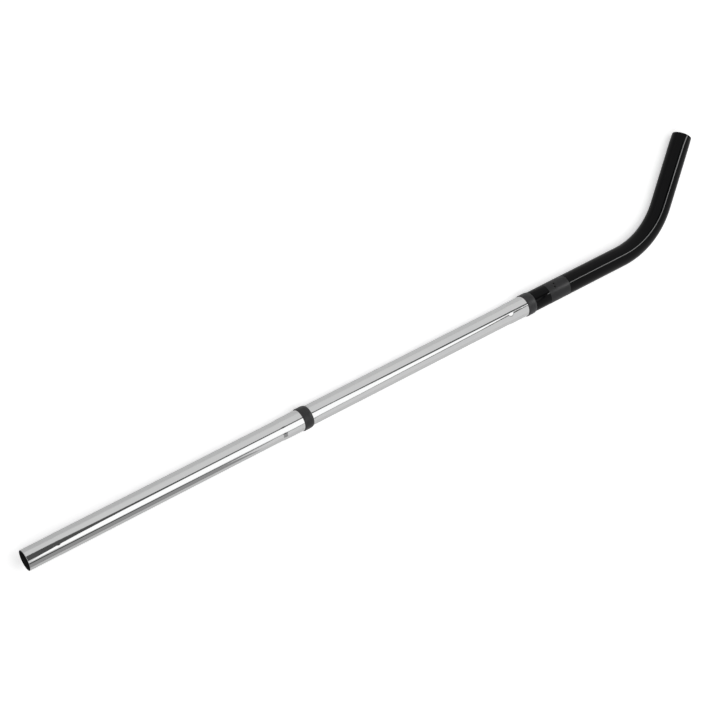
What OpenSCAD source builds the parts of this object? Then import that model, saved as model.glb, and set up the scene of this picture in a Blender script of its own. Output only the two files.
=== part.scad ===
/* [Straight sections] */
// Length of one straight section, from its cut end to the outer end of its collar
section_length = 470; // [300:1:600]
// Outside diameter of the chromed steel tube
tube_diameter = 32; // [28:0.5:38]
// Wall of the chromed steel tube
tube_wall = 0.8; // [0.6:0.1:1.2]

/* [Push fit] */
// Length of a reduced end that goes into the next socket
spigot_length = 45; // [30:1:60]
// How much a reduced end is smaller than the tube, on the radius
spigot_step = 0.2; // [0.1:0.05:0.5]
// Length over which the tube narrows to its reduced end
spigot_taper = 6; // [3:1:15]
// Bevel on the outer edge of a reduced end
spigot_bevel = 0.3; // [0.1:0.1:0.5]
// Gap on the radius between a reduced end and the socket round it
push_gap = 0.07; // [0.02:0.01:0.1]
// Length over which the tube widens to its socket
flare_length = 9; // [4:1:20]
// Free depth in a socket past the reduced end
socket_spare = 0.8; // [0.3:0.1:3]

/* [Collars] */
// Length of a collar
collar_length = 16; // [12:1:30]
// Wall of a collar over the socket
collar_wall = 1.1; // [0.8:0.1:3]
// Thickness of the lip that covers the tube's raw end
collar_lip = 1.6; // [0.8:0.1:3]
// Length of the rounded shoulder at the collar's outer end
shoulder_length = 6; // [3:0.5:10]
// How far the shoulder comes down at the collar's outer end
shoulder_drop = 1.4; // [0.5:0.1:1.6]
// Radius on the collar's inner edge, on the side of its own tube
collar_edge = 0.4; // [0.2:0.1:0.7]
// Gap on the radius between a collar and the tube that it is pressed on
collar_gap = 0.02; // [0.01:0.01:0.05]

/* [Handle] */
// How far the handle stands out past its reduced end, on the radius
handle_step = 0.7; // [0.4:0.1:3]
// Wall of the moulded handle
handle_wall = 2.4; // [2:0.1:4]
// Distance from the collar's outer end to the start of the bend
handle_straight = 187; // [120:1:300]
// Radius of the bend, at the middle of the tube
bend_radius = 155; // [80:1:250]
// Angle of the bend
bend_angle = 45; // [20:1:70]
// Length of the straight arm past the bend
arm_length = 124; // [60:1:250]
// Length of the slight taper at the hose end
tip_taper = 18; // [8:1:30]
// How much the hose end is smaller at its tip, on the radius
tip_step = 0.3; // [0.1:0.1:0.8]
// Rounding on the rim of the hose end
rim_round = 0.8; // [0.3:0.1:1.1]
// Gap between the collar's outer end and the handle's shoulder
seat_gap = 0.4; // [0.2:0.1:1]

/* [Suction regulator] */
// Distance from the handle's shoulder to the seat of the ring
stub_length = 28.8; // [10:0.2:60]
// Length of the ring
ring_length = 40; // [25:1:60]
// Wall of the ring
ring_wall = 1.2; // [0.8:0.1:1.4]
// Gap on the radius between the ring and its seat
ring_gap = 0.05; // [0.03:0.01:0.1]
// Gap at each end of the ring
ring_end_gap = 0.3; // [0.2:0.1:1]
// Bevel on the ring's edges
ring_bevel = 0.3; // [0.1:0.1:0.5]
// Width of the slit that lets the ring spring into its seat
slit_width = 1.6; // [0.8:0.2:4]
// Turn of the slit, from the top towards the inside of the bend
slit_turn = 200; // [150:5:300]
// Diameter of a bleed hole in the ring
bleed_diameter = 2.8; // [1.5:0.1:4]
// Number of bleed holes
bleed_count = 2; // [1:1:3]
// Turn from one bleed hole to the next
bleed_pitch_turn = 21; // [15:0.5:30]
// Step along the handle from one bleed hole to the next
bleed_pitch = 2; // [0:0.5:6]
// Turn of the first bleed hole, from the top towards the inside of the bend
bleed_turn = 28; // [0:0.5:60]
// Distance from the ring's lower end to its first bleed hole
bleed_start = 13.5; // [6:0.5:20]
// Width of the window in the handle below the bleed holes
window_width = 10; // [8:0.5:12]
// Length of the window
window_length = 15; // [12:0.5:24]
// Turn of the window, from the top towards the inside of the bend
window_turn = 38.5; // [0:0.5:90]

/* [Hidden] */
$fn = 96;
flare_steps = 8;
cut_over = 1;

// Radii of the steel tube, of its reduced end and of its socket
tube_r = tube_diameter / 2;
spigot_r = tube_r - spigot_step;
socket_bore_r = spigot_r + push_gap;
socket_r = socket_bore_r + tube_wall;

// Places along a section, from its cut end
tube_end = section_length - collar_lip;
socket_start = section_length - spigot_length - socket_spare;
flare_start = socket_start - flare_length;
section_pitch = section_length - spigot_length;

// Radii of a collar, and the arc of its shoulder
collar_bore_r = socket_r + collar_gap;
collar_r = collar_bore_r + collar_wall;
collar_start = section_length - collar_length;
shoulder_start = section_length - shoulder_length;
shoulder_r = (shoulder_length * shoulder_length + shoulder_drop * shoulder_drop) / (2 * shoulder_drop);

// Places of the handle along the wand, and its radii
handle_x = 2 * section_pitch;
collars_end = handle_x + spigot_length;
handle_shoulder_x = collars_end + seat_gap;
bend_x = collars_end + handle_straight;
handle_r = spigot_r + handle_step;
handle_bore_r = handle_r - handle_wall;
tip_r = handle_r - tip_step;

// The seat of the ring, the ring, its bleed holes and the window below them
seat_r = handle_r - ring_wall - ring_gap;
seat_x = handle_shoulder_x + stub_length;
seat_length = ring_length + 2 * ring_end_gap;
ring_x = seat_x + ring_end_gap;
ring_bore_r = seat_r + ring_gap;
bleed_r = bleed_diameter / 2;
window_r = window_width / 2;
window_x = ring_x + bleed_start + bleed_pitch / 2;

// Points of a smooth step between two radii, along the tube
function smooth_step(x0, r0, x1, r1) =
    [for (i = [0:flare_steps])
        let (part = i / flare_steps)
        [r0 + (r1 - r0) * (1 - cos(180 * part)) / 2, x0 + (x1 - x0) * part]];

// Outline of the tube's outer or inner face, moved inwards by the wall
function tube_face(inwards) = concat(
    smooth_step(spigot_length, spigot_r - inwards, spigot_length + spigot_taper, tube_r - inwards),
    smooth_step(flare_start, tube_r - inwards, socket_start, socket_r - inwards)
);

function reversed(points) = [for (i = [len(points) - 1:-1:0]) points[i]];

// Lays a child, drawn upwards, along the wand, with its seam on the outside of the bend
module laid(x) {
    translate([x, 0, 0])
        rotate([0, 90, 0])
            rotate([0, 0, -90])
                children();
}

// Turns a profile of [radius, place] points about the wand's axis
module lathe(x) {
    laid(x)
        rotate_extrude()
            children();
}

// A steel tube with a reduced end and a widened socket, rolled in one piece
module steel_tube(x) {
    lathe(x)
        polygon(concat(
            [[spigot_r - tube_wall, 0], [spigot_r - spigot_bevel, 0], [spigot_r, spigot_bevel]],
            tube_face(0),
            [[socket_r, tube_end], [socket_bore_r, tube_end]],
            reversed(tube_face(tube_wall))
        ));
}

// The moulded ring pressed over a socket, with a lip over the tube's raw end
module collar(x) {
    lathe(x)
        difference() {
            union() {
                translate([0, collar_start + collar_edge])
                    square([collar_r, shoulder_start - collar_start - collar_edge]);
                translate([0, collar_start])
                    square([collar_r - collar_edge, collar_edge]);
                translate([collar_r - collar_edge, collar_start + collar_edge])
                    circle(collar_edge);
                intersection() {
                    translate([0, shoulder_start])
                        square([collar_r, shoulder_length]);
                    translate([collar_r - shoulder_r, shoulder_start])
                        circle(shoulder_r);
                }
            }
            translate([0, collar_start - cut_over])
                square([collar_bore_r, tube_end - collar_start + cut_over]);
            square([socket_bore_r, section_length + cut_over]);
        }
}

// The handle's run from its reduced end to its tip, as a solid of the given radius
module handle_run(r, arm) {
    laid(handle_shoulder_x)
        cylinder(r = r, h = bend_x - handle_shoulder_x);
    translate([bend_x, bend_radius, 0])
        rotate([0, 0, -90])
            rotate_extrude(angle = bend_angle)
                translate([bend_radius, 0])
                    circle(r);
    at_bend_end()
        cylinder(r = r, h = arm);
}

// Puts a child, drawn along +Z, on the arm's axis with its foot at the end of the bend
module at_bend_end(along = 0) {
    translate([bend_x, bend_radius, 0])
        rotate([0, 0, bend_angle])
            translate([0, -bend_radius, 0])
                laid(along)
                    children();
}

// The hose end: a slight taper and a rounded rim
module hose_end() {
    at_bend_end(arm_length - tip_taper)
        rotate_extrude() {
            difference() {
                polygon([[0, 0], [handle_r, 0], [tip_r, tip_taper - rim_round], [tip_r, tip_taper], [0, tip_taper]]);
                translate([tip_r - rim_round, tip_taper - rim_round])
                    difference() {
                        square(rim_round + cut_over);
                        circle(rim_round);
                    }
            }
        }
}

// Turns a child, drawn upwards at the top of the wand, towards the inside of the bend
module turned(angle) {
    rotate([-angle, 0, 0])
        children();
}

// The window in the handle's wall that the ring covers and uncovers
module bleed_window() {
    turned(window_turn) {
        for (side = [-1, 1])
            translate([window_x + side * (window_length / 2 - window_r), 0, 0])
                cylinder(r = window_r, h = handle_r + cut_over);
        translate([window_x - window_length / 2 + window_r, -window_r, 0])
            cube([window_length - window_width, window_width, handle_r + cut_over]);
    }
}

module lower_tube() {
    color("silver")
        steel_tube(0);
}

module lower_collar() {
    color([0.2, 0.2, 0.21])
        collar(0);
}

module upper_tube() {
    color("silver")
        steel_tube(section_pitch);
}

module upper_collar() {
    color([0.2, 0.2, 0.21])
        collar(section_pitch);
}

module handle_tube() {
    color([0.04, 0.04, 0.045])
        difference() {
            union() {
                handle_run(handle_r, arm_length - tip_taper);
                hose_end();
                lathe(handle_x)
                    polygon([
                        [0, 0],
                        [spigot_r - spigot_bevel, 0],
                        [spigot_r, spigot_bevel],
                        [spigot_r, handle_shoulder_x - handle_x],
                        [0, handle_shoulder_x - handle_x]
                    ]);
            }
            handle_run(handle_bore_r, arm_length + cut_over);
            laid(handle_x - cut_over)
                cylinder(r = handle_bore_r, h = handle_shoulder_x - handle_x + cut_over);
            lathe(seat_x)
                translate([seat_r, 0])
                    square([handle_r - seat_r + cut_over, seat_length]);
            bleed_window();
        }
}

module regulator_ring() {
    color([0.24, 0.24, 0.25])
        difference() {
            lathe(ring_x)
                polygon([
                    [ring_bore_r, 0],
                    [handle_r - ring_bevel, 0],
                    [handle_r, ring_bevel],
                    [handle_r, ring_length - ring_bevel],
                    [handle_r - ring_bevel, ring_length],
                    [ring_bore_r, ring_length]
                ]);
            for (i = [0:bleed_count - 1])
                turned(bleed_turn + i * bleed_pitch_turn)
                    translate([ring_x + bleed_start + i * bleed_pitch, 0, 0])
                        cylinder(r = bleed_r, h = handle_r + cut_over);
            turned(slit_turn)
                translate([ring_x - cut_over, -slit_width / 2, 0])
                    cube([ring_length + 2 * cut_over, slit_width, handle_r + cut_over]);
        }
}

lower_tube();
lower_collar();
upper_tube();
upper_collar();
handle_tube();
regulator_ring();
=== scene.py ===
# %% [markdown]
# # Dressing a sectional vacuum wand
# The wand is two chromed steel tubes, each with a charcoal collar, and a black bent handle with a
# turning ring. OpenSCAD holds its true sizes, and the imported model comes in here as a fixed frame.
# This lesson makes smoother pieces over that frame, gives them their finishes, and sets a small
# photo studio round them. All lengths are in metres, and the wand lies along X.

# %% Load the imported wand
import math
import bpy
from mathutils import Matrix, Vector


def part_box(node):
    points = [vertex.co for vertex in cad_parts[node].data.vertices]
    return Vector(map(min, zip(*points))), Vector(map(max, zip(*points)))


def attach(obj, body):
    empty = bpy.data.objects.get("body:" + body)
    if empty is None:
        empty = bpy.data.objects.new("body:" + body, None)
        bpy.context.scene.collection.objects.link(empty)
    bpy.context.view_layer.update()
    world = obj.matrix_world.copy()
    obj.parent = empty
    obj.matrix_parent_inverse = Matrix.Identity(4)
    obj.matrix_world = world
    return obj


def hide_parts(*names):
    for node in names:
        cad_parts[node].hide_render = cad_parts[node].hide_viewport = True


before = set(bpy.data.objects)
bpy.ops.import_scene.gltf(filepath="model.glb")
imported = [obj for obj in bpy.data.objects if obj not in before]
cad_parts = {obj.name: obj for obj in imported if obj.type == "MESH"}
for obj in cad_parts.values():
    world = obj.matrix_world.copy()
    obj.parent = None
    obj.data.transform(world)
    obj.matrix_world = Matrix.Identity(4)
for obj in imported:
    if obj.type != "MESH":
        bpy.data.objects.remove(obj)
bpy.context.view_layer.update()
MM = 0.001
scene = bpy.context.scene
scene.view_settings.view_transform = "Standard"
print("nodes:", sorted(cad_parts))

# %% [markdown]
# ## The camera
# The photograph looks down on the wand at about 62 degrees from near its open lower end. A camera
# can be aimed by eye or solved from known points. These numbers come from a least-squares fit of
# the camera to the edges of the tubes, the collars and the bend, so they are written out: the
# camera's place, and the directions of its right and lower picture edges.

# %% Place the camera
image_side = 701
focal_pixels = 1848.0
camera_place = Vector((-0.5997, 0.5123, 2.4387))
picture_right = Vector((0.8091, -0.3685, 0.4578)).normalized()
picture_down = Vector((-0.4031, -0.9148, -0.0239)).normalized()

camera_lens = bpy.data.cameras.new("studio_camera")
camera_lens.sensor_width = 36.0
camera_lens.lens = focal_pixels * camera_lens.sensor_width / image_side
camera_lens.clip_end = 60.0
camera = bpy.data.objects.new("studio_camera", camera_lens)
scene.collection.objects.link(camera)
towards_camera = picture_right.cross(-picture_down)
camera.matrix_world = Matrix.Translation(camera_place) @ Matrix(
    (picture_right, towards_camera.cross(picture_right), towards_camera)).transposed().to_4x4()
scene.camera = camera
print("lens:", round(camera_lens.lens, 2), "mm")

# %% [markdown]
# ## Sizes of the pieces
# Each round piece is a profile turned about the wand's axis. The profile's sizes are the CAD
# model's own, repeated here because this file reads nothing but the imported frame. One cell keeps
# them all, so that the fits between tube, collar and handle can be read in one place.

# %% Name the sizes
section_length = 470 * MM
section_pitch = 425 * MM
tube_radius = 16.0 * MM
tube_wall = 0.8 * MM
reduced_radius = 15.8 * MM
reduced_length = 45 * MM
socket_radius = 16.67 * MM
flare_start = 415.2 * MM
flare_end = 424.2 * MM
tube_end = 468.4 * MM
collar_radius = 17.79 * MM
collar_length = 16 * MM
handle_radius = 16.5 * MM
handle_bore = 14.1 * MM
handle_start = 2 * section_pitch
shoulder_place = 895.4 * MM
bend_start = 1082 * MM
bend_radius = 155 * MM
bend_angle = math.radians(45)
arm_length = 124 * MM
seat_start = 924.2 * MM
seat_length = 40.6 * MM
seat_radius = 15.25 * MM
ring_start = 924.5 * MM
ring_length = 40 * MM
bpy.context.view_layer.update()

# %% [markdown]
# ## A lathe in Geometry Nodes
# Turned pieces could be made with the Screw modifier, but a node tree gives named inputs and can
# close the profile on itself, so that the result is a solid shell with an inner and an outer face.
# The tree lays a grid with one row for each profile point and one column for each step of the
# turn. It then moves every grid point to its place on the turned surface. Joining the first and
# last rows and columns closes the shell.

# %% Helpers that write node trees
def add_node(tree, kind, inputs=(), **settings):
    node = tree.nodes.new(kind)
    for name, value in settings.items():
        setattr(node, name, value)
    for key, value in dict(inputs).items():
        if isinstance(value, bpy.types.NodeSocket):
            tree.links.new(value, node.inputs[key])
        else:
            node.inputs[key].default_value = value
    return node


def new_tree(name, inputs):
    tree = bpy.data.node_groups.new(name, "GeometryNodeTree")
    tree.interface.new_socket("Geometry", in_out="INPUT", socket_type="NodeSocketGeometry")
    for label, kind in inputs:
        tree.interface.new_socket(label, in_out="INPUT", socket_type="NodeSocket" + kind)
    tree.interface.new_socket("Geometry", in_out="OUTPUT", socket_type="NodeSocketGeometry")
    return tree, tree.nodes.new("NodeGroupInput").outputs


def maths(tree, operation, *values):
    return add_node(tree, "ShaderNodeMath", enumerate(values), operation=operation).outputs[0]


def whole(tree, operation, *values):
    return add_node(tree, "FunctionNodeIntegerMath", enumerate(values), operation=operation).outputs[0]


def finish_tree(tree, geometry, material):
    solid = add_node(tree, "GeometryNodeRealizeInstances", {"Geometry": geometry}).outputs[0]
    painted = add_node(tree, "GeometryNodeSetMaterial", {"Geometry": solid, "Material": material})
    out = tree.nodes.new("NodeGroupOutput")
    tree.links.new(painted.outputs[0], out.inputs[0])
    print(tree.name, "has", len(tree.nodes), "nodes")


# %% Build the lathe tree
lathe_tree, given = new_tree("lathe", [("Segments", "Int"), ("Crease", "Float"), ("Material", "Material")])
count = add_node(lathe_tree, "GeometryNodeAttributeDomainSize", {0: given["Geometry"]}).outputs["Point Count"]
columns = whole(lathe_tree, "ADD", given["Segments"], 1)
grid = add_node(lathe_tree, "GeometryNodeMeshGrid",
                {"Vertices X": whole(lathe_tree, "ADD", count, 1), "Vertices Y": columns})
index = lathe_tree.nodes.new("GeometryNodeInputIndex").outputs[0]
row = whole(lathe_tree, "MODULO", whole(lathe_tree, "DIVIDE_FLOOR", index, columns), count)
step = whole(lathe_tree, "MODULO", whole(lathe_tree, "MODULO", index, columns), given["Segments"])
turn = maths(lathe_tree, "MULTIPLY", maths(lathe_tree, "DIVIDE", step, given["Segments"]), 2 * math.pi)
profile_point = add_node(lathe_tree, "GeometryNodeSampleIndex", data_type="FLOAT_VECTOR")
lathe_tree.links.new(given["Geometry"], profile_point.inputs["Geometry"])
lathe_tree.links.new(lathe_tree.nodes.new("GeometryNodeInputPosition").outputs[0], profile_point.inputs["Value"])
lathe_tree.links.new(row, profile_point.inputs["Index"])
place = add_node(lathe_tree, "ShaderNodeSeparateXYZ", {0: profile_point.outputs["Value"]}).outputs
turned_point = add_node(lathe_tree, "ShaderNodeCombineXYZ", {
    "X": place["X"],
    "Y": maths(lathe_tree, "MULTIPLY", place["Z"], maths(lathe_tree, "SINE", turn)),
    "Z": maths(lathe_tree, "MULTIPLY", place["Z"], maths(lathe_tree, "COSINE", turn)),
}).outputs[0]
moved = add_node(lathe_tree, "GeometryNodeSetPosition",
                 {"Geometry": grid.outputs["Mesh"], "Position": turned_point}).outputs[0]
joined = add_node(lathe_tree, "GeometryNodeMergeByDistance", {"Geometry": moved, "Distance": 1e-7}).outputs[0]
edge_angle = lathe_tree.nodes.new("GeometryNodeInputMeshEdgeAngle").outputs[0]
crisp = add_node(lathe_tree, "FunctionNodeCompare", {0: edge_angle, 1: given["Crease"]}).outputs[0]
round_faces = add_node(lathe_tree, "GeometryNodeSetShadeSmooth", {"Geometry": joined}).outputs[0]
shaded = add_node(lathe_tree, "GeometryNodeSetShadeSmooth",
                  {"Geometry": round_faces, "Selection": crisp, "Shade Smooth": False}, domain="EDGE").outputs[0]
finish_tree(lathe_tree, shaded, given["Material"])

# %% [markdown]
# ## A bend in Geometry Nodes
# The real handle leaves its mould bent. Here it is turned straight on the same lathe and bent
# afterwards, which keeps its cross-section round. A point past the start of the bend is slid back
# to the start by its length along the bend, and is then turned about the bend's centre.

# %% Build the bend tree
bend_tree, given = new_tree("bend", [("Bend Start", "Float"), ("Bend Radius", "Float"),
                                     ("Bend Angle", "Float"), ("Material", "Material")])
straight = bend_tree.nodes.new("GeometryNodeInputPosition").outputs[0]
along = add_node(bend_tree, "ShaderNodeSeparateXYZ", {0: straight}).outputs["X"]
past = maths(bend_tree, "SUBTRACT", along, given["Bend Start"])
whole_arc = maths(bend_tree, "MULTIPLY", given["Bend Radius"], given["Bend Angle"])
arc = maths(bend_tree, "MINIMUM", maths(bend_tree, "MAXIMUM", past, 0.0), whole_arc)
slide = add_node(bend_tree, "ShaderNodeCombineXYZ", {"X": arc}).outputs[0]
slid = add_node(bend_tree, "ShaderNodeVectorMath", {0: straight, 1: slide}, operation="SUBTRACT").outputs[0]
centre = add_node(bend_tree, "ShaderNodeCombineXYZ", {"X": given["Bend Start"], "Y": given["Bend Radius"]}).outputs[0]
bent_point = add_node(bend_tree, "ShaderNodeVectorRotate", {
    "Vector": slid, "Center": centre, "Angle": maths(bend_tree, "DIVIDE", arc, given["Bend Radius"]),
}, rotation_type="Z_AXIS").outputs[0]
bent = add_node(bend_tree, "GeometryNodeSetPosition",
                {"Geometry": given["Geometry"], "Position": bent_point}).outputs[0]
finish_tree(bend_tree, bent, given["Material"])

# %% [markdown]
# ## Finishes
# Each finish is a node material on Object coordinates, so it stays with the piece in every view.
# Noise stretched along the wand gives the traces of how a piece was made: a tube is drawn and
# polished lengthwise, and a collar's plastic flows round its mould. The numbers keep such traces
# faint, because the real surfaces look clean from a step away.

# %% Helpers that write finishes
def new_finish(name, **shader_values):
    material = bpy.data.materials.new(name)
    material.use_nodes = True
    shader = material.node_tree.nodes["Principled BSDF"]
    for label, value in shader_values.items():
        shader.inputs[label.replace("_", " ")].default_value = value
    return material, material.node_tree, shader


def grain(tree, stretch, scale, detail=3.0):
    coordinates = tree.nodes.new("ShaderNodeTexCoord").outputs["Object"]
    stretched = add_node(tree, "ShaderNodeMapping", {"Vector": coordinates, "Scale": stretch}).outputs[0]
    return add_node(tree, "ShaderNodeTexNoise",
                    {"Vector": stretched, "Scale": scale, "Detail": detail}).outputs[0]


def between(tree, factor, low, high):
    spread = add_node(tree, "ShaderNodeMapRange",
                      {"Value": factor, "From Min": 0.3, "From Max": 0.7, "To Min": low, "To Max": high})
    return spread.outputs[0]


def mixed_colour(tree, factor, dark, light):
    mix = add_node(tree, "ShaderNodeMix", {0: factor}, data_type="RGBA")
    mix.inputs[6].default_value = (*dark, 1)
    mix.inputs[7].default_value = (*light, 1)
    return mix.outputs[2]


def bumped(tree, height, distance, strength=1.0, normal=None):
    bump = add_node(tree, "ShaderNodeBump", {"Height": height, "Distance": distance, "Strength": strength})
    if normal is not None:
        tree.links.new(normal, bump.inputs["Normal"])
    return bump.outputs[0]


# %% Chrome outside, dull steel with painted shade inside
chrome, nodes, shader = new_finish("chrome_plate", Metallic=1.0)
polish = grain(nodes, (0.05, 1, 1), 900)
nodes.links.new(between(nodes, polish, 0.035, 0.085), shader.inputs["Roughness"])
tone = grain(nodes, (1, 1, 1), 14)
nodes.links.new(mixed_colour(nodes, tone, (0.535, 0.54, 0.545), (0.585, 0.585, 0.58)), shader.inputs["Base Color"])
rolled = bumped(nodes, grain(nodes, (0.35, 1, 1), 60, 1.0), 0.00004)
nodes.links.new(bumped(nodes, polish, 0.000002, 1.0, rolled), shader.inputs["Normal"])
# The bore's dull steel is painted nearly black as painted shade of the tube's inside, with a faint random mottle.
shade_darkened_bore_steel, nodes, shader = new_finish("shade_darkened_bore_steel", Metallic=0.6)
scale_marks = grain(nodes, (0.1, 1, 1), 400)
nodes.links.new(mixed_colour(nodes, scale_marks, (0.012, 0.012, 0.013), (0.03, 0.03, 0.03)), shader.inputs["Base Color"])
nodes.links.new(between(nodes, scale_marks, 0.55, 0.75), shader.inputs["Roughness"])
print("made", chrome.name, "and", shade_darkened_bore_steel.name)

# %% Charcoal collar plastic
charcoal, nodes, shader = new_finish("charcoal_plastic", Specular_IOR_Level=0.2)
flow = grain(nodes, (1, 0.18, 0.18), 700)
fine = grain(nodes, (1, 1, 1), 2500, 2.0)
nodes.links.new(mixed_colour(nodes, flow, (0.016, 0.016, 0.017), (0.05, 0.05, 0.052)), shader.inputs["Base Color"])
nodes.links.new(between(nodes, flow, 0.30, 0.45), shader.inputs["Roughness"])
nodes.links.new(bumped(nodes, fine, 0.00003, 0.6, bumped(nodes, flow, 0.00006)), shader.inputs["Normal"])
print("made", charcoal.name)

# %% Black gloss handle plastic
gloss, nodes, shader = new_finish("black_gloss_plastic", Specular_IOR_Level=0.09)
peel = grain(nodes, (1, 1, 1), 260, 2.0)
clouds = grain(nodes, (1, 1, 1), 30)
nodes.links.new(mixed_colour(nodes, clouds, (0.001, 0.001, 0.0012), (0.0025, 0.0025, 0.003)), shader.inputs["Base Color"])
nodes.links.new(between(nodes, clouds, 0.03, 0.05), shader.inputs["Roughness"])
nodes.links.new(bumped(nodes, peel, 0.00001, 0.8), shader.inputs["Normal"])
print("made", gloss.name)

# %% Dark grey satin ring plastic
satin, nodes, shader = new_finish("grey_satin_plastic", Specular_IOR_Level=0.2)
spark = grain(nodes, (1, 1, 1), 1800, 2.0)
clouds = grain(nodes, (1, 1, 1), 60)
nodes.links.new(mixed_colour(nodes, clouds, (0.014, 0.014, 0.015), (0.021, 0.021, 0.022)), shader.inputs["Base Color"])
nodes.links.new(between(nodes, spark, 0.34, 0.46), shader.inputs["Roughness"])
nodes.links.new(bumped(nodes, spark, 0.00002, 0.7), shader.inputs["Normal"])
print("made", satin.name)

# %% [markdown]
# ## Running the trees
# A modifier's inputs are set by the sockets' identifiers before the object is first evaluated.
# The evaluated object is then copied into a plain mesh, the modifiers go, and the faces of the
# closed shell are turned outwards. Flat ends get crisp edges, and round faces stay smooth.

# %% Helpers that turn a profile into a piece
SEGMENTS = 144
CREASE = math.radians(30)


def set_inputs(modifier, values):
    for item in modifier.node_group.interface.items_tree:
        if item.item_type == "SOCKET" and item.in_out == "INPUT" and item.name in values:
            modifier[item.identifier] = values[item.name]


def plain_copy(thing, name):
    evaluated = thing.evaluated_get(bpy.context.evaluated_depsgraph_get())
    mesh = bpy.data.meshes.new_from_object(evaluated)
    mesh.name = name
    thing.modifiers.clear()
    thing.data = mesh
    return thing


def turned_piece(name, profile, finish):
    mesh = bpy.data.meshes.new(name + "_profile")
    mesh.from_pydata([(x, 0, r) for x, r in profile], [(i, i + 1) for i in range(len(profile) - 1)], [])
    piece = bpy.data.objects.new(name, mesh)
    scene.collection.objects.link(piece)
    lathe = piece.modifiers.new("lathe", "NODES")
    lathe.node_group = lathe_tree
    set_inputs(lathe, {"Segments": SEGMENTS, "Crease": CREASE, "Material": finish})
    plain_copy(piece, name)
    piece.data.materials.clear()
    piece.data.materials.append(finish)
    face_outwards(piece)
    print(name, len(piece.data.polygons), "faces")
    return piece


def face_outwards(piece):
    bpy.context.view_layer.update()
    bpy.ops.object.select_all(action="DESELECT")
    piece.select_set(True)
    bpy.context.view_layer.objects.active = piece
    bpy.ops.object.mode_set(mode="EDIT")
    bpy.ops.mesh.select_all(action="SELECT")
    bpy.ops.mesh.normals_make_consistent(inside=False)
    bpy.ops.object.mode_set(mode="OBJECT")


def smooth_step(x0, r0, x1, r1, steps=14):
    parts = [i / steps for i in range(steps + 1)]
    return [(x0 + (x1 - x0) * p, r0 + (r1 - r0) * (1 - math.cos(math.pi * p)) / 2) for p in parts]


def rounded(cx, cr, radius, first, last, steps=5):
    turns = [math.radians(first + (last - first) * i / steps) for i in range(steps + 1)]
    return [(cx + radius * math.sin(a), cr + radius * math.cos(a)) for a in turns]


def divided(x0, x1, r, most=4 * MM):
    steps = max(1, math.ceil(abs(x1 - x0) / most))
    return [(x0 + (x1 - x0) * i / steps, r) for i in range(steps + 1)]


# %% [markdown]
# ## The chromed tubes
# Each tube is rolled in one piece: a reduced lower end with a rounded rim, and an upper end that
# widens to a socket. The inner face is the outer one moved in by the wall. The two tubes are the
# same part, so one profile serves both, moved by one pitch. The plating doesn't reach far into
# the bore, which stays dull, so faces on the inner side get a dull steel finish painted nearly black as painted shade
# inside the tube.

# %% Turn the two tubes
def tube_profile(start):
    outer = rounded(0.3 * MM, reduced_radius - 0.3 * MM, 0.3 * MM, -90, 0)
    outer += smooth_step(reduced_length, reduced_radius, reduced_length + 6 * MM, tube_radius)
    outer += divided(reduced_length + 46 * MM, flare_start - 40 * MM, tube_radius, 40 * MM)
    outer += smooth_step(flare_start, tube_radius, flare_end, socket_radius)
    outer += [(tube_end, socket_radius)]
    inner = [(x, r - tube_wall) for x, r in reversed(outer[6:])]
    inner += [(0.0, reduced_radius - tube_wall)]
    return [(start + x, r) for x, r in outer + inner]


# Inner faces get the second finish, dull steel painted dark as the bore's shade.
def line_bore(piece, start, shaded_lining, wall_middle):
    piece.data.materials.append(shaded_lining)
    for face in piece.data.polygons:
        x, y, z = face.center
        face.material_index = 1 if math.hypot(y, z) < wall_middle(x - start) else 0


def tube_middle(x):
    for (xa, ra), (xb, rb) in zip(tube_outline, tube_outline[1:]):
        if xa <= x <= xb:
            return ra + (rb - ra) * (x - xa) / (xb - xa) - tube_wall / 2
    return reduced_radius - tube_wall / 2


tube_outline = [(0, reduced_radius), (reduced_length, reduced_radius), (reduced_length + 6 * MM, tube_radius),
                (flare_start, tube_radius), (flare_end, socket_radius), (tube_end, socket_radius)]
lower_tube = turned_piece("lower_chromed_tube", tube_profile(0), chrome)
line_bore(lower_tube, 0, shade_darkened_bore_steel, tube_middle)
upper_tube = turned_piece("upper_chromed_tube", tube_profile(section_pitch), chrome)
line_bore(upper_tube, section_pitch, shade_darkened_bore_steel, tube_middle)

# %% [markdown]
# ## The collars
# A collar is a moulded ring over the socket, with a lip over the tube's raw end. Its edge towards
# its own tube is nearly square, and its outer end is a long rounded shoulder. The shoulder is an
# arc, so it is written as points on a circle, with a small round where it meets the end face.

# %% Turn the two collars
def collar_profile(start):
    shoulder, drop, lip_bore = 6 * MM, 1.4 * MM, 15.87 * MM
    arc_radius = (shoulder ** 2 + drop ** 2) / (2 * drop)
    arc_end = math.degrees(math.asin(shoulder / arc_radius))
    left = section_length - collar_length
    points = rounded(left + 0.4 * MM, collar_radius - 0.4 * MM, 0.4 * MM, -90, 0)
    points += rounded(section_length - shoulder, collar_radius - arc_radius, arc_radius, 0, arc_end, 12)
    points[-1] = (section_length - 0.15 * MM, points[-1][1])
    points += [(section_length, points[-1][1] - 0.15 * MM), (section_length, lip_bore)]
    points += [(tube_end, lip_bore), (tube_end, socket_radius + 0.02 * MM), (left, socket_radius + 0.02 * MM)]
    return [(start + x, r) for x, r in points]


lower_collar = turned_piece("lower_charcoal_collar", collar_profile(0), charcoal)
upper_collar = turned_piece("upper_charcoal_collar", collar_profile(section_pitch), charcoal)

# %% [markdown]
# ## The handle
# The handle is one moulding: a reduced end in the upper socket, a shoulder, the seat of the ring,
# the grip, the bend and the arm with its slightly tapered open end. It is turned straight, cut
# for its window, and bent by the second tree, and its bore follows the same bend.

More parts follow.
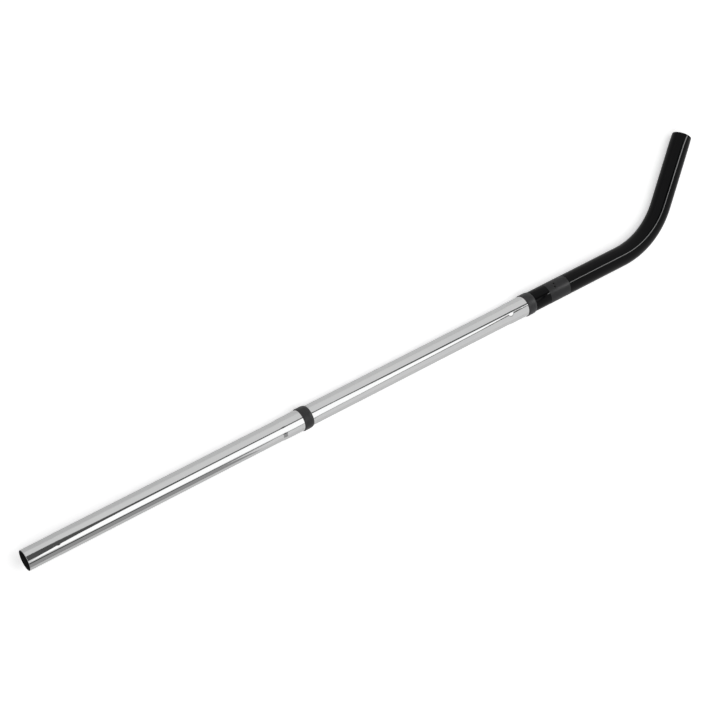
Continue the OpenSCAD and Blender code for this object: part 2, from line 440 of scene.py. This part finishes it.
# %% Cut a piece with a plain solid
def cut(piece, cutter):
    knife = piece.modifiers.new("cut", "BOOLEAN")
    knife.operation, knife.solver, knife.object = "DIFFERENCE", "EXACT", cutter
    plain_copy(piece, piece.data.name)
    bpy.data.objects.remove(cutter)
    piece.data.set_sharp_from_angle(angle=CREASE)
    print(piece.name, "cut, now", len(piece.data.polygons), "faces")


def standing_solid(name, outline, low, high, turn):
    sides = len(outline)
    points = [Vector((x, y, z)) for z in (low, high) for x, y in outline]
    faces = [tuple(reversed(range(sides))), tuple(range(sides, 2 * sides))]
    faces += [(i, (i + 1) % sides, (i + 1) % sides + sides, i + sides) for i in range(sides)]
    mesh = bpy.data.meshes.new(name)
    mesh.from_pydata([Matrix.Rotation(-turn, 3, "X") @ p for p in points], [], faces)
    solid = bpy.data.objects.new(name, mesh)
    scene.collection.objects.link(solid)
    return solid


def slot_outline(cx, width, length, steps=12):
    half = length / 2 - width / 2
    corners = [(half, -90), (-half, 90)]
    return [(cx + dx + width / 2 * math.cos(math.radians(a + 180 * i / steps)),
             width / 2 * math.sin(math.radians(a + 180 * i / steps)))
            for dx, a in corners for i in range(steps + 1)]


# %% Turn, cut and bend the handle
arm_start = bend_start + bend_radius * bend_angle
tip = arm_start + arm_length
outer = rounded(handle_start + 0.3 * MM, reduced_radius - 0.3 * MM, 0.3 * MM, -90, 0)
outer += [(shoulder_place, reduced_radius)]
outer += rounded(shoulder_place + 0.3 * MM, handle_radius - 0.3 * MM, 0.3 * MM, -90, 0)
outer += [(seat_start, handle_radius), (seat_start, seat_radius)]
outer += [(seat_start + seat_length, seat_radius), (seat_start + seat_length, handle_radius)]
outer += divided(bend_start, arm_start, handle_radius, 2 * MM)
outer += [(tip - 18 * MM, handle_radius)]
outer += rounded(tip - 0.8 * MM, handle_radius - 1.1 * MM, 0.8 * MM, 0, 90)
inner = [(tip, handle_bore)] + divided(arm_start, bend_start, handle_bore, 2 * MM)
inner += [(handle_start, handle_bore)]
handle = turned_piece("black_handle", outer + inner, gloss)
window_place, window_turn = 939 * MM, math.radians(38.5)
cut(handle, standing_solid("window_cutter", slot_outline(window_place, 10 * MM, 15 * MM), 5 * MM, 20 * MM, window_turn))
bender = handle.modifiers.new("bend", "NODES")
bender.node_group = bend_tree
set_inputs(bender, {"Bend Start": bend_start, "Bend Radius": bend_radius, "Bend Angle": bend_angle, "Material": gloss})
plain_copy(handle, "black_handle")
handle.data.materials.clear()
handle.data.materials.append(gloss)
print("handle spans", [round(d, 4) for d in handle.dimensions])

# %% [markdown]
# ## The regulator ring
# The ring is let flush into its seat. A slit on the hidden side lets it spring in, and two small
# bleed holes let false air through when they stand over the handle's window. The bevels on its
# edges catch a thin line of light at both seams, as in the photograph.

# %% Turn and cut the ring
bevel = 0.3 * MM
ring_end = ring_start + ring_length
ring_bore = seat_radius + 0.05 * MM
ring_profile = [(ring_start, ring_bore)]
ring_profile += rounded(ring_start + bevel, handle_radius - bevel, bevel, -90, 0)
ring_profile += rounded(ring_end - bevel, handle_radius - bevel, bevel, 0, 90)
ring_profile += [(ring_end, ring_bore)]
ring = turned_piece("grey_regulator_ring", ring_profile, satin)
slit = [(ring_start - 1 * MM, -0.8 * MM), (ring_end + 1 * MM, -0.8 * MM),
        (ring_end + 1 * MM, 0.8 * MM), (ring_start - 1 * MM, 0.8 * MM)]
cut(ring, standing_solid("slit_cutter", slit, 5 * MM, 20 * MM, math.radians(200)))
for place_along, turn_degrees in ((938 * MM, 28), (940 * MM, 49)):
    hole = slot_outline(place_along, 2.8 * MM, 2.8 * MM)[:-1]
    del hole[13]
    cut(ring, standing_solid("bleed_cutter", hole, 5 * MM, 20 * MM, math.radians(turn_degrees)))

# %% [markdown]
# ## Putting the pieces on their bodies
# The frame knows four bodies: the handle, the regulator and the two sections. Each piece rides on
# its body and stands for one CAD node, which is hidden.

# %% Ride and replace
for piece, body, node, slot in (
    (lower_tube, "lower_section", "lower_tube", "chromed_tube"),
    (lower_collar, "lower_section", "lower_collar", "collar_plastic"),
    (upper_tube, "upper_section", "upper_tube", "chromed_tube"),
    (upper_collar, "upper_section", "upper_collar", "collar_plastic"),
    (handle, "handle", "handle_tube", "handle_plastic"),
    (ring, "regulator", "regulator_ring", "ring_plastic"),
):
    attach(piece, body)
    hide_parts(node)
    print(piece.name, "rides on", body)

# %% [markdown]
# ## The studio
# Chrome shows its surroundings, so the studio is built for what the tubes reflect: one long soft
# light overhead, dark cards beside it that draw the two dark lines, and a grey wall on the bend's
# outer side. The cards are seen only in reflections. The floor and world are white to the camera,
# to metal and to glass, and the floor keeps the wand's soft shadow.

# %% A white world that lights gently
world = bpy.data.worlds.new("studio_world")
scene.world = world
world.use_nodes = True
tree = world.node_tree
path = tree.nodes.new("ShaderNodeLightPath").outputs
seen = maths(tree, "MAXIMUM", path["Is Camera Ray"],
             maths(tree, "MAXIMUM", path["Is Glossy Ray"], path["Is Transmission Ray"]))
sky = tree.nodes["Background"]
sky.inputs["Color"].default_value = (1, 1, 1, 1)
tree.links.new(maths(tree, "ADD", 0.6, maths(tree, "MULTIPLY", seen, 0.4)), sky.inputs["Strength"])
print("world ready")


# %% The pale floor
def flat_stage(name, corners, height):
    mesh = bpy.data.meshes.new(name)
    mesh.from_pydata([(x, y, height) for x, y in corners], [], [tuple(range(len(corners)))])
    sheet = bpy.data.objects.new(name, mesh)
    scene.collection.objects.link(sheet)
    return sheet


floor_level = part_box("lower_collar")[0].z
floor = flat_stage("studio_floor", [(-8, -8), (8, -8), (8, 8), (-8, 8)], floor_level)
pale, tree, shader = new_finish("pale_floor", Roughness=0.9, Specular_IOR_Level=0.0)
shader.inputs["Base Color"].default_value = (0.9, 0.9, 0.9, 1)
path = tree.nodes.new("ShaderNodeLightPath").outputs
seen = maths(tree, "MAXIMUM", path["Is Camera Ray"],
             maths(tree, "MAXIMUM", path["Is Glossy Ray"], path["Is Transmission Ray"]))
shader.inputs["Emission Color"].default_value = (1, 1, 1, 1)
in_metal = maths(tree, "MULTIPLY", seen, 0.12)
tree.links.new(maths(tree, "MULTIPLY_ADD", path["Is Camera Ray"], 0.36, in_metal), shader.inputs["Emission Strength"])
floor.data.materials.append(pale)
print("floor at z =", round(floor_level, 5))


# %% The soft light and the cards
def card(name, corners, height, brightness, lights=False):
    sheet = flat_stage(name, corners, height)
    paint = bpy.data.materials.new(name)
    paint.use_nodes = True
    tree = paint.node_tree
    tree.nodes.clear()
    glow = add_node(tree, "ShaderNodeEmission", {"Strength": brightness}).outputs[0]
    tree.links.new(glow, tree.nodes.new("ShaderNodeOutputMaterial").inputs[0])
    sheet.data.materials.append(paint)
    sheet.visible_camera = sheet.visible_shadow = sheet.visible_transmission = False
    sheet.visible_diffuse = lights
    return sheet


card("soft_light", [(0.10, -0.46), (0.18, -0.16), (0.28, -0.06), (0.36, 0.10), (0.46, 0.20), (0.64, 0.24), (0.95, 0.26),
                    (1.1, 0.15), (1.2, 0.13), (1.34, 0.13), (1.42, 0.10), (1.36, -0.20), (1.2, -0.42),
                    (1.1, -0.60), (0.95, -0.76), (0.88, -0.71), (0.46, -0.62), (0.3, -0.46)], 1.0, 1.75, True)
card("dark_card_inner", [(-0.2, -0.20), (0.18, -0.16), (0.28, -0.06), (0.36, 0.10), (0.46, 0.22), (0.64, 0.27), (0.95, 0.29), (1.1, 0.18),
                         (1.34, 0.16), (1.6, 0.17), (1.6, 0.42), (1.1, 0.44), (0.64, 0.52), (0.45, 0.64),
                         (0.36, 0.86), (-0.2, 0.86)], 1.01, 0.12)
card("dark_card_outer", [(-0.2, -0.62), (0.45, -0.72), (0.64, -0.78), (0.95, -0.92), (1.1, -0.72), (1.2, -0.52), (1.36, -0.26),
                         (1.42, 0.10), (1.48, -0.10), (1.36, -0.40), (1.2, -0.66), (0.95, -1.05),
                         (0.64, -1.1), (-0.2, -1.1)], 1.02, 0.12)
grey_wall = card("grey_wall", [(-1.5, -1.1), (1.0, -1.1), (1.0, -5), (-1.5, -5)], 1.03, 0.4)
side_wall = card("side_wall", [(-1.5, -1.1), (0.8, -1.1), (0.8, 0.0), (-1.5, 0.0)], 0.0, 0.45)
for corner in side_wall.data.vertices:
    corner.co = (corner.co.x, -1.1, -corner.co.y + 0.02)
card("strip_light", [(1.52, 0.10), (2.6, 0.02), (2.6, 0.16), (1.52, 0.20)], 1.04, 30.0)
print("studio ready")

# %% [markdown]
# ## Finish
# The pieces must stay inside the CAD model's box.

# %% Finish
print("finished")
